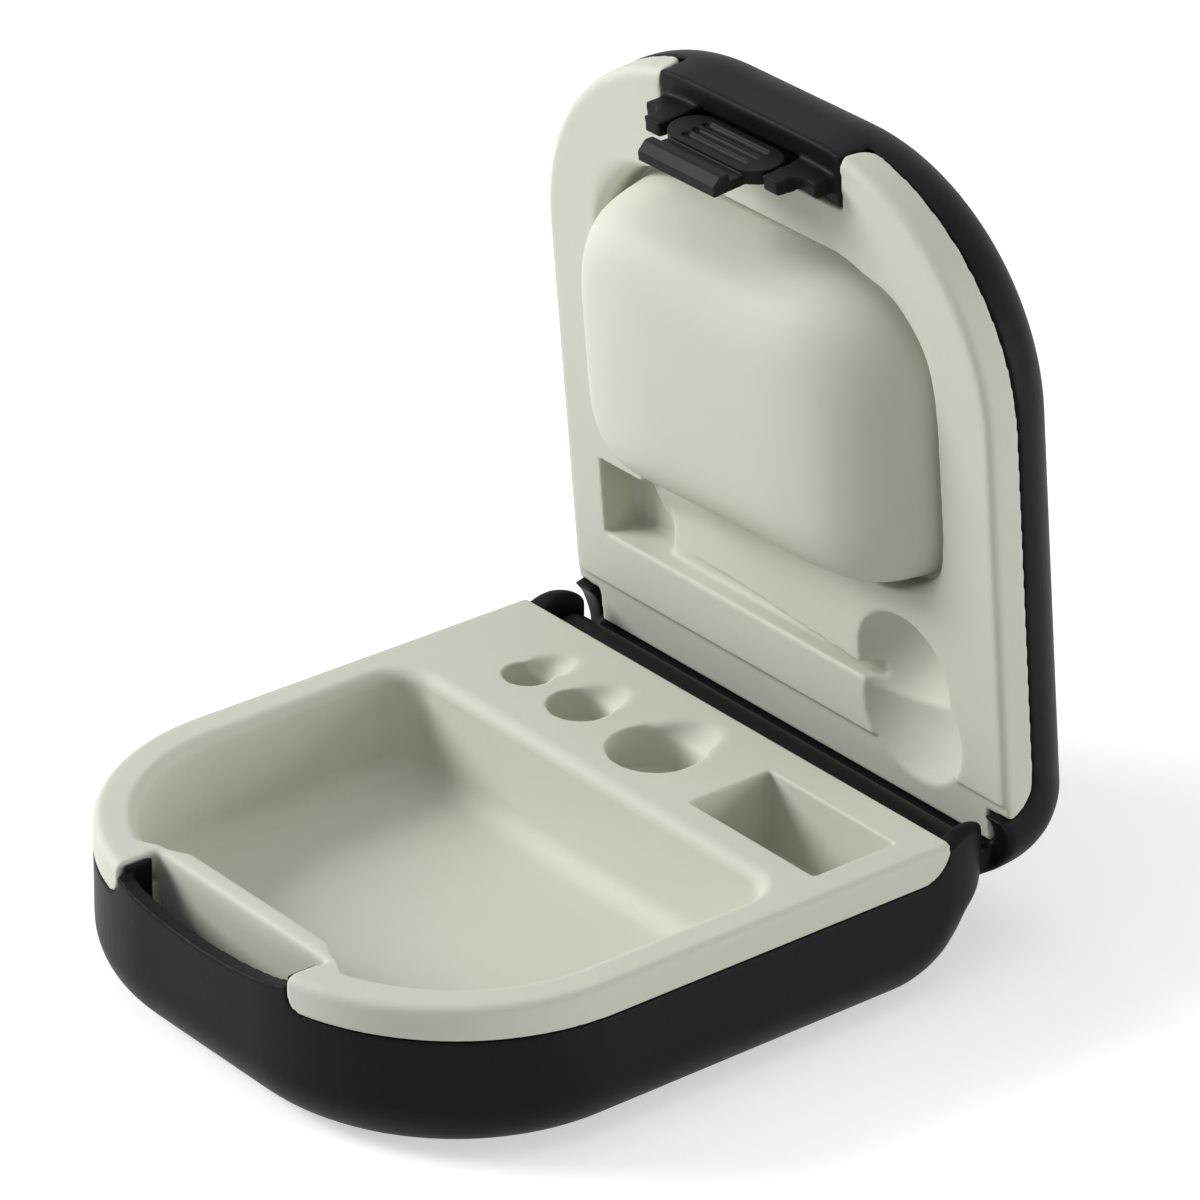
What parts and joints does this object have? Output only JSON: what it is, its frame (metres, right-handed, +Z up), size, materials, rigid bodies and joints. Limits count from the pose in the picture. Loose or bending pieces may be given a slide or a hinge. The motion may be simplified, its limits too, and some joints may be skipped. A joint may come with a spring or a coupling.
{
  "type": "hearing aid case",
  "caption": "Pocket clamshell case with rounded dark shells, pale moulded liners with a compartment and cell wells, a rear pin hinge and a sprung front latch.",
  "frame": {"origin": "centre of the base's flat underside", "axes": "+Z up, +Y from the latch to the hinge, +X to the right"},
  "size_m": [0.082, 0.1036, 0.1027],
  "materials": {
    "shell": "fine satin grain",
    "liner": "soft matt",
    "button": "satin",
    "steel": "drawn wire"
  },
  "bodies": {
    "base": {"base_shell": "shell", "base_liner": "liner"},
    "lid": {"lid_shell": "shell", "lid_liner": "liner", "hinge_pin": "steel", "latch_retainer": "button", "retainer_screws": "steel", "latch_spring": "steel"},
    "button": {"latch_button": "button"}
  },
  "joints": [
    {"name": "lid_hinge", "type": "hinge", "parent": "base", "child": "lid", "pos_m": [0, 0.04035, 0.0159], "axis": [1, 0, 0], "range_deg": [0, 84]},
    {"name": "button_press", "type": "slide", "parent": "lid", "child": "button", "axis": [0, 0.1045, -0.9945], "range_m": [0, 0.0013], "stiffness_N_per_m": 1500, "deforming": ["latch_spring"]}
  ]
}
